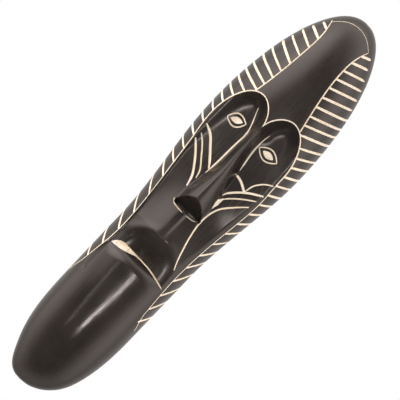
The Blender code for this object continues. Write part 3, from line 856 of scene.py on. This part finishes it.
def hatch_cuts():
    """The two bands of slanting cuts: closer together at the head, steeper and wider apart at the jaw."""
    cuts = []
    for side, spec in HATCHING.items():
        wobble = np.random.default_rng(HATCH_SEED + side)
        height = spec["top"]
        number = 0
        while height > spec["bottom"]:
            number += 1
            rise = np.interp(height, *zip(*spec["rise"])) + wobble.uniform(-0.5, 0.5)
            inner = band_inner(height)
            centre = face_centre(height)
            start = abs(turn_of(side * inner + centre, height)) + 0.006
            end = 0.69 + 0.2 * eased(height, 378, 333) + 0.15 * eased(height, 333, 321)
            path = np.linspace(0, 1, 16)
            turns = side * (start + (end - start) * path)
            heights = height + rise * (path + HATCH_BOW * path * (1 - path) * 4)
            at_outer_end = 1.0 if end > 1 else 0.5
            size = tapered(len(path), 0.8, at_outer_end, 0.2)
            width = (HATCH_WIDTH + wobble.uniform(-0.2, 0.2)) * size
            cuts.append(gouge(f"hatch_{side}_{number}", turns, heights, width, HATCH_DEPTH * size))
            height -= np.interp(height, *zip(*spec["pitch"])) + wobble.uniform(-0.5, 0.5)
    return cuts


def outline_cuts():
    """Lines round the forehead panel, over the brows and down the cheeks."""
    cuts = []
    for side in (1, -1):
        climb = np.linspace(BROW_PEAK - 1, 382.5, 40)
        x = side * panel_half(climb) + face_centre(climb)
        size = tapered(len(climb), 1.0, 0.6)
        cuts.append(line_cut(f"panel_line_{side}", x, climb, FINE_WIDTH * size, FINE_DEPTH * size))
        sweep = np.radians(np.linspace(178, 0, 40))
        inner = sweep > math.pi / 2
        across = BROW_PEAK_X + np.cos(sweep) * np.where(inner, BROW_PEAK_X - 0.1, FACE_HALF - BROW_PEAK_X)
        up = brow_line(across)
        down = np.linspace(FACE_MID - 2, FACE_LOW - 8, 70)
        cheek = cheek_half(down) + 2.6 * eased(down, 108, 90)
        heights = np.concatenate((up, down))
        x = side * np.concatenate((across, cheek)) + face_centre(heights)
        x = np.clip(x, -half_width(heights) * 0.995, half_width(heights) * 0.995)
        along = np.linspace(0, 1, len(heights))
        width = np.interp(along, (0, 0.06, 0.3, 0.5, 1), (1.2, 1.7, 1.6, 1.1, 1.0))
        cuts.append(line_cut(f"brow_and_cheek_line_{side}", x, heights, width, width * 0.55))
    x = np.linspace(-20.5, 18.5, 30)
    height = 392 - 11 * (np.abs(x) / 20) ** 2.2
    cuts.append(line_cut("crown_line", x, height, np.full(len(x), 0.6), np.full(len(x), 0.35)))
    return cuts


def face_cuts():
    """Scar lines on the cheeks, the lines beside the nose and the cut at its base."""
    cuts = [face_cut(name, points, width) for name, (points, width) in FACE_LINES.items()]
    for side, top, low, width, flare in ((-1, 290, 223.5, 1.15, 2.6), (1, 280, 243.5, 0.95, 0)):
        height = np.linspace(top, low, 34)
        out = nose_half(height) + NOSE_LINE_GAP + flare * eased(height, 266, 288)
        x = face_centre(height) + side * out
        size = tapered(len(height), 0.5, 0.5)
        cuts.append(line_cut(f"nose_side_{side}", x, height, width * size, NOSE_LINE_DEPTH * size))
    cuts.append(face_cut("right_wedge", WEDGE, WEDGE_WIDTHS))
    return cuts


def eye_cuts():
    """Each eye: a pale line along both lids and a pale scooped middle, with a dark ring left between."""
    cuts = []
    for name, (middle, reach, rise, tilt, inner) in EYES.items():
        cos = math.cos(math.radians(tilt))
        sin = math.sin(math.radians(tilt))
        t = np.linspace(-1, 1, 18)
        for lid in (1, -1):
            along = reach * t
            up = lid * rise * (1 - np.abs(t) ** 1.9)
            x = middle[0] + along * cos - up * sin
            height = middle[1] + along * sin + up * cos
            size = tapered(len(t), 0.75, 0.75)
            cuts.append(line_cut(f"eye_{name}_lid_{lid}", x, height, FINE_WIDTH * size, FINE_DEPTH * size))
        along = inner[0] * t
        x = middle[0] + along * cos
        height = middle[1] + along * sin
        size = 1 - 0.94 * np.abs(t) ** 1.9
        width = 2 * inner[1] * size
        cuts.append(line_cut(f"eye_{name}_middle", x, height, width, 1.5 * size, 0.55))
    return cuts


def mouth_cut():
    """The pale cut along the mouth, a broad slanting facet that is drawn out to a thin line on one side."""
    stations = (
        (-25.6, 132.6, 131.9),
        (-21.5, 136.7, 132.0),
        (-17.5, 138.3, 132.5),
        (-12.5, 138.3, 133.5),
        (-7.5, 138.0, 135.0),
        (-2.5, 137.7, 136.5),
        (2.5, 137.5, 136.6),
        (10.5, 136.9, 136.0),
        (17.5, 135.7, 134.6),
        (24.5, 133.9, 132.8),
        (30.2, 131.8, 131.2),
    )
    path = through(stations, 1.5)
    x, upper, lower = path.T
    share = np.abs(x - MOUTH_X) / MOUTH_RADIUS
    floor = np.minimum(front_depth(x, upper) - 0.9, MOUTH_DEPTH + 1.5)
    floor = np.where(share > 0.8, front_depth(x, (upper + lower) / 2) - 1.0, floor)
    rise = floor + 0.45 * (upper - lower)
    bm = bmesh.new()
    rings = []
    in_front = np.full(len(x), LAYOUT_DEPTH + 9)
    for height, depth in ((upper + 0.6, in_front), (upper, floor), (lower, rise), (lower - 0.6, in_front)):
        rings.append([bm.verts.new(point) for point in to_frame(x, depth, height)])
    for near, far in zip(rings, rings[1:] + rings[:1]):
        for i in range(len(x) - 1):
            bm.faces.new((near[i], near[i + 1], far[i + 1], far[i]))
    bm.faces.new([ring[0] for ring in rings])
    bm.faces.new([ring[-1] for ring in rings][::-1])
    bmesh.ops.recalc_face_normals(bm, faces=bm.faces)
    return cutter_from("mouth_opening", bm)


# The back, in millimetres: depth of the hollow, the wall left round it and the wood left above and below it.
HOLLOW_DEPTH = 17.0
HOLLOW_WALL = 11.0
HOLLOW_TO_POCKET = 12.0
HOLLOW_TO_CHIN = 26.0
# One gouge stroke's width and length in the hollow, and the height of the ridges between strokes.
LANE_WIDTH = 6.5
STROKE_LENGTH = 24.0
RIDGE_HEIGHT = 0.55
# The room kept round the hanger, and the rounding of the pocket's corners and of the edge at its floor.
POCKET_MARGIN = 2.5
POCKET_CORNER = 5.0
POCKET_EDGE = 0.8


def hollow_cutter():
    """The gouged bowl of the back, with the facets that the gouge left."""
    pocket_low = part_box("hanger_strap")[0][2] - POCKET_MARGIN * MM
    top = pocket_low - HOLLOW_TO_POCKET * MM
    low = BODY_LOW[2] + HOLLOW_TO_CHIN * MM
    deselect_all()
    bpy.ops.mesh.primitive_uv_sphere_add(segments=144, ring_count=150, radius=1)
    piece = bpy.context.object
    piece.name = "hollow_cutter"
    half_length = (top - low) / 2
    middle = (top + low) / 2
    mesh = piece.data
    places = vertex_places(mesh)
    height = middle + half_length * places[:, 2]
    across = half_width((height - BODY_LOW[2]) / SCALE[2]) * SCALE[0] - HOLLOW_WALL * MM
    ring = np.maximum(np.hypot(places[:, 0], places[:, 1]), 1e-9)
    swell = round_end(np.abs(places[:, 2]), 2.6)
    x = places[:, 0] / ring * across * swell
    y = places[:, 1] / ring * HOLLOW_DEPTH * MM * swell
    inside = smooth((-y - 1.5 * MM) / (4 * MM))
    lanes = x / (LANE_WIDTH * MM)
    lane = np.round(lanes)
    stroke = height / (STROKE_LENGTH * MM) + 0.37 * lane + 0.2 * np.sin(lane * 2.1)
    scoop = 0.9 * (lanes - lane) ** 2 * 4 + 0.7 * (stroke - np.floor(stroke) - 0.4) ** 2 * 3
    y = y + inside * (RIDGE_HEIGHT * MM * np.clip(scoop, 0, 1.6))
    mesh.vertices.foreach_set("co", np.stack((x, y, height), axis=-1).ravel())
    mesh.update()
    mesh.materials.append(BACK)
    return piece


def pocket_cutter():
    """Round-cornered recess round the hanger."""
    ring_low, ring_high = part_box("hanger_ring")
    strap_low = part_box("hanger_strap")[0]
    pivot = Vector(next(j["pos_m"] for j in frame["record"]["behaviour"]["joints"]))
    reach = pivot.z - ring_low[2]
    margin = POCKET_MARGIN * MM
    top = pivot.z + reach + margin
    low = strap_low[2] - margin
    half = ring_high[0] + margin
    depth = -2 * pivot.y
    deselect_all()
    size = (2 * half, 2 * depth, top - low)
    bpy.ops.mesh.primitive_cube_add(size=1, location=(0, 0, (top + low) / 2), scale=size)
    piece = bpy.context.object
    piece.name = "pocket_cutter"
    bpy.ops.object.transform_apply(location=True, rotation=True, scale=True)
    bpy.ops.object.mode_set(mode="EDIT")
    bm = bmesh.from_edit_mesh(piece.data)
    for e in bm.edges:
        e.select_set(abs(e.verts[0].co.y - e.verts[1].co.y) > depth)
    bmesh.update_edit_mesh(piece.data)
    bpy.ops.mesh.bevel(offset=POCKET_CORNER * MM, segments=10, affect="EDGES")
    bm = bmesh.from_edit_mesh(piece.data)
    for e in bm.edges:
        at_floor = all(v.co.y < -depth * 0.99 for v in e.verts)
        beside_wall = any(abs(f.normal.y) < 0.5 for f in e.link_faces)
        e.select_set(at_floor and beside_wall)
    bmesh.update_edit_mesh(piece.data)
    bpy.ops.mesh.bevel(offset=POCKET_EDGE * MM, segments=4, affect="EDGES")
    bpy.ops.object.mode_set(mode="OBJECT")
    piece.data.materials.append(BACK)
    return piece


def carve(body, cutters):
    """Takes all the cutters away from the body in one go, keeping the finish of each cut."""
    home = bpy.data.collections.new("cutters")
    bpy.context.scene.collection.children.link(home)
    for cutter in cutters:
        for old in list(cutter.users_collection):
            old.objects.unlink(cutter)
        home.objects.link(cutter)
    modifier = body.modifiers.new("carving", "BOOLEAN")
    modifier.operation = "DIFFERENCE"
    modifier.operand_type = "COLLECTION"
    modifier.collection = home
    modifier.solver = "MANIFOLD"
    modifier.material_mode = "TRANSFER"
    make_active(body)
    bpy.ops.object.modifier_apply(modifier=modifier.name)
    for cutter in cutters:
        bpy.data.objects.remove(cutter, do_unlink=True)
    bpy.data.collections.remove(home)


mask = carved_blank()
cutters = hatch_cuts() + outline_cuts() + face_cuts() + eye_cuts()
cutters += [mouth_cut(), hollow_cutter(), pocket_cutter()]
carve(mask, cutters)
make_active(mask)
bpy.ops.object.shade_smooth_by_angle(angle=math.radians(34))
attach(mask, "mask")
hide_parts("mask_body")


# ---------------------------------------------------------------- hanger
def refinish(node, finish):
    """Gives one of the CAD's own meshes its looks."""
    mesh = frame["nodes"][node].data
    mesh.materials.clear()
    mesh.materials.append(finish)


refinish("hanger_strap", plated_metal("strap_plating", (0.52, 0.53, 0.53), (0.33, 0.33, 0.32), 0.34))
refinish("hanger_ring", plated_metal("ring_plating", (0.66, 0.65, 0.62), (0.45, 0.43, 0.40), 0.2))
screw_finish = plated_metal("screw_plating", (0.78, 0.60, 0.30), (0.50, 0.36, 0.18), 0.26)
refinish("hanger_screw_1", screw_finish)
refinish("hanger_screw_2", screw_finish)


# ---------------------------------------------------------------- studio
TARGET = Vector((0.0021, -0.020, -0.1595))
YAW = 4.5
ROLL = 43.63
LENS = 404.3
DISTANCE = 3.6
WHITE = (1.0, 1.0, 1.0, 1)
WARM = (1.0, 0.955, 0.91)
ROOM_TINT = (1.0, 0.93, 0.89, 1)
PANEL_DISTANCE = 1.6
# Brightness of the surroundings, from behind the camera at 0 round to behind the mask at 1.
ROOM = ((0.15, 0.13), (0.24, 0.33), (0.36, 0.8), (0.5, 1.0), (0.62, 0.8), (0.75, 0.35), (1.0, 0.3))
# What that is multiplied by near the floor and overhead.
ROOM_BELOW = 0.65
ROOM_ABOVE = 2.3
WINDOW_STRENGTH = 2.9
FLOOR_HEIGHT = -1.25
FLOOR_RADIUS = 2.2


def sight(azimuth, elevation):
    """Direction from the mask towards a place round it: azimuth 0 is straight in front, 90 at its +X side."""
    a, e = math.radians(azimuth), math.radians(elevation)
    return Vector((math.sin(a) * math.cos(e), -math.cos(a) * math.cos(e), math.sin(e)))


def add_camera():
    data = bpy.data.cameras.new("camera")
    data.lens = LENS
    camera = placed("camera", data)
    back = sight(YAW, 0)
    camera.location = TARGET + back * DISTANCE
    level = (-back).to_track_quat("-Z", "Y")
    roll = Matrix.Rotation(math.radians(ROLL), 4, back)
    camera.matrix_world = Matrix.Translation(camera.location) @ roll @ level.to_matrix().to_4x4()
    bpy.context.scene.camera = camera


def add_panel(name, azimuth, elevation, size, power):
    """A warm light panel that faces the middle of the mask."""
    data = bpy.data.lights.new(name, "AREA")
    data.shape = "RECTANGLE"
    data.size, data.size_y = size
    data.energy = power
    data.color = WARM
    panel = placed(name, data)
    away = sight(azimuth, elevation)
    panel.location = TARGET + away * PANEL_DISTANCE
    panel.rotation_euler = away.to_track_quat("Z", "Y").to_euler()
    panel.visible_camera = False


def add_world():
    """White surroundings, dim behind the camera, brighter overhead, with a window's glow up on one side."""
    world = bpy.data.worlds.new("studio")
    bpy.context.scene.world = world
    world.use_nodes = True
    tree = world.node_tree
    background = tree.nodes["Background"]
    direction = tree.nodes.new("ShaderNodeTexCoord").outputs["Generated"]
    parts = tree.nodes.new("ShaderNodeSeparateXYZ")
    tree.links.new(direction, parts.inputs[0])
    ring = tree.nodes.new("ShaderNodeValToRGB")
    lowered = math_node(tree, "MULTIPLY", math_node(tree, "MINIMUM", parts.outputs["Z"], 0.0), 0.1)
    turned = math_node(tree, "ADD", math_node(tree, "MULTIPLY", parts.outputs["Y"], 0.5), 0.5)
    tree.links.new(math_node(tree, "ADD", turned, lowered), ring.inputs[0])
    ring.color_ramp.interpolation = "EASE"
    ring.color_ramp.elements.remove(ring.color_ramp.elements[1])
    for index, (place, value) in enumerate(ROOM):
        stop = ring.color_ramp.elements[0] if index == 0 else ring.color_ramp.elements.new(place)
        stop.position = place
        stop.color = (value, value, value, 1)
    above = ramp_node(tree, parts.outputs["Z"], -0.9, 0.35, ROOM_BELOW, ROOM_ABOVE)
    soft = math_node(tree, "MULTIPLY", ring.outputs["Color"], above)
    toward = tree.nodes.new("ShaderNodeVectorMath")
    toward.operation = "DOT_PRODUCT"
    tree.links.new(direction, toward.inputs[0])
    toward.inputs[1].default_value = sight(-50, 26)
    window = ramp_node(tree, toward.outputs["Value"], 0.80, 1.0, 0.0, WINDOW_STRENGTH)
    soft = math_node(tree, "ADD", soft, window)
    seen = tree.nodes.new("ShaderNodeLightPath").outputs["Is Camera Ray"]
    strength = tree.nodes.new("ShaderNodeMix")
    tree.links.new(seen, strength.inputs[0])
    tree.links.new(soft, strength.inputs[2])
    strength.inputs[3].default_value = 1.0
    tree.links.new(strength.outputs[0], background.inputs["Strength"])
    tint = mix_colour(tree, seen, ROOM_TINT, WHITE)
    tree.links.new(tint, background.inputs["Color"])


def add_floor():
    """Pale round floor below the mask; towards its edge it is painted to glow white, an emission that fades
    it into the white surroundings.
    """
    deselect_all()
    place = (0, 0, FLOOR_HEIGHT)
    bpy.ops.mesh.primitive_circle_add(vertices=96, radius=FLOOR_RADIUS, fill_type="NGON", location=place)
    floor = bpy.context.object
    floor.name = "floor"
    made, tree, shader, place = new_finish("floor_paint_and_glow")
    shader.inputs["Base Color"].default_value = (0.82, 0.82, 0.81, 1)
    shader.inputs["Roughness"].default_value = 0.8
    length = tree.nodes.new("ShaderNodeVectorMath")
    length.operation = "LENGTH"
    tree.links.new(place, length.inputs[0])
    # painted glow: from 0.9 m out the floor turns into a white emission instead of a lit surface
    edge = ramp_node(tree, length.outputs["Value"], 0.9, 2.1)
    glow = tree.nodes.new("ShaderNodeEmission")
    mix = tree.nodes.new("ShaderNodeMixShader")
    tree.links.new(edge, mix.inputs[0])
    tree.links.new(shader.outputs[0], mix.inputs[1])
    tree.links.new(glow.outputs[0], mix.inputs[2])
    output = next(n for n in tree.nodes if n.type == "OUTPUT_MATERIAL")
    tree.links.new(mix.outputs[0], output.inputs["Surface"])
    floor.data.materials.append(made)
    floor.visible_glossy = False


add_camera()
add_world()
add_floor()
add_panel("right_strip", 12.5, -10, (0.045, 0.66), 7.5)
add_panel("left_strip", -23, -12, (0.06, 0.7), 0.7)
bpy.context.scene.view_settings.view_transform = "Standard"
